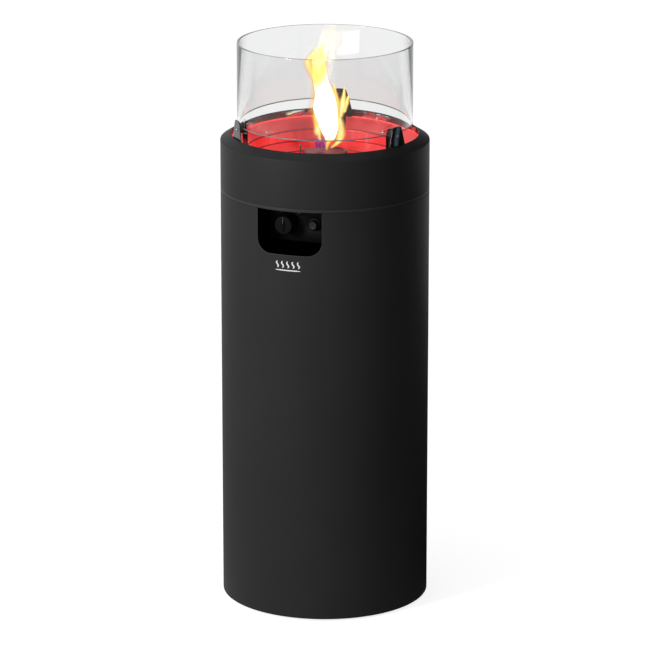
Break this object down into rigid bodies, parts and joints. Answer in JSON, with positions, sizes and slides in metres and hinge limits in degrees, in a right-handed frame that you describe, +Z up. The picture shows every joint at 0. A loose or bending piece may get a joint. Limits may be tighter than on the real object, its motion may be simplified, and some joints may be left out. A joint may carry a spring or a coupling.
{
  "type": "outdoor heater",
  "caption": "Tall round steel gas heater: a housing for the gas bottle, a lift-off burner head with a lit bowl, and a clear glass wind shield on brackets.",
  "frame": {"origin": "on the floor, at the column's axis", "axes": "+Z up along the column; the control opening faces -Y; +X to the right seen from the front"},
  "size_m": [0.38, 0.38, 1.0397],
  "materials": {
    "black_coat": "fine-textured matt black powder coat",
    "seam_rubber": "smooth dark grey gasket",
    "foot_rubber": "matt black rubber",
    "pad_rubber": "heat-resistant silicone",
    "gloss_black": "gloss black enamel",
    "satin_black": "satin black",
    "black_plastic": "moulded black",
    "stainless": "bright pressed stainless, lit red from its rim",
    "zinc": "zinc plated",
    "brass": "machined",
    "aluminium": "drawn tube",
    "copper": "bare copper",
    "cast_iron": "heat-darkened",
    "white_ceramic": "glazed",
    "red_diffuser": "frosted, lit red",
    "led_board": "flexible light strip",
    "clear_glass": "clear tempered glass",
    "red_wire": "silicone sleeve",
    "black_wire": "sleeved"
  },
  "bodies": {
    "base": {"lower_housing": "black_coat", "base_plate": "black_coat", "foot_1": "foot_rubber", "foot_2": "foot_rubber", "foot_3": "foot_rubber", "foot_4": "foot_rubber", "centring_collar": "black_coat"},
    "head": {"air_cage": "zinc", "battery_box": "black_plastic", "bowl_pillar_1": "zinc", "bowl_pillar_2": "zinc", "bowl_pillar_3": "zinc", "bowl_screw_1": "zinc", "bowl_screw_2": "zinc", "bowl_screw_3": "zinc", "bracket_screw_1": "zinc", "bracket_screw_2": "zinc", "bracket_screw_3": "zinc", "bulkhead": "zinc", "burner_cap": "stainless", "burner_cup": "cast_iron", "burner_plate": "stainless", "control_panel": "satin_black", "electrode_insulator": "white_ceramic", "flame_sensor": "stainless", "gas_inlet_nipple": "brass", "gas_pipe": "aluminium", "glass_bracket_1": "gloss_black", "glass_bracket_2": "gloss_black", "glass_bracket_3": "gloss_black", "glass_pad_1": "pad_rubber", "glass_pad_2": "pad_rubber", "glass_pad_3": "pad_rubber", "head_shell": "black_coat", "igniter_body": "black_plastic", "ignition_lead": "red_wire", "injector": "brass", "injector_holder": "brass", "lamp_lead": "black_wire", "lamp_switch_body": "black_plastic", "led_strip": "led_board", "light_diffuser": "red_diffuser", "panel_screw_1": "satin_black", "panel_screw_2": "satin_black", "pipe_nut_burner": "brass", "pipe_nut_valve": "brass", "reflector_bowl": "stainless", "seam_gasket": "seam_rubber", "sensor_lead": "copper", "spark_electrode": "stainless", "switch_lead": "black_wire", "valve_body": "brass", "valve_nut": "zinc", "venturi_tube": "zinc"},
    "glass": {"glass_cylinder": "clear_glass"},
    "valve_rotor": {"valve_spindle": "brass"},
    "knob": {"control_knob": "satin_black"},
    "igniter_push": {"igniter_button": "gloss_black"},
    "lamp_push": {"lamp_button": "gloss_black"},
    "battery_door": {"battery_flap": "black_plastic"}
  },
  "joints": [
    {"name": "head_lift", "type": "slide", "parent": "base", "child": "head", "axis": [0, 0, 1], "range_m": [0, 0.22]},
    {"name": "glass_lift", "type": "slide", "parent": "head", "child": "glass", "axis": [0, 0, 1], "range_m": [0, 0.2]},
    {"name": "valve_turn", "type": "hinge", "parent": "head", "child": "valve_rotor", "pos_m": [-0.022, -0.14, 0.733], "axis": [0, -1, 0], "range_deg": [-90, 90]},
    {"name": "knob_push", "type": "slide", "parent": "valve_rotor", "child": "knob", "axis": [0, 1, 0], "range_m": [0, 0.004], "stiffness_N_per_m": 600},
    {"name": "igniter_press", "type": "slide", "parent": "head", "child": "igniter_push", "axis": [0, 1, 0], "range_m": [0, 0.007], "stiffness_N_per_m": 700},
    {"name": "lamp_press", "type": "slide", "parent": "head", "child": "lamp_push", "axis": [0, 1, 0], "range_m": [0, 0.0015], "stiffness_N_per_m": 500},
    {"name": "battery_flap_swing", "type": "hinge", "parent": "head", "child": "battery_door", "pos_m": [0, 0.1321, 0.7798], "axis": [1, 0, 0], "range_deg": [0, 95]}
  ]
}
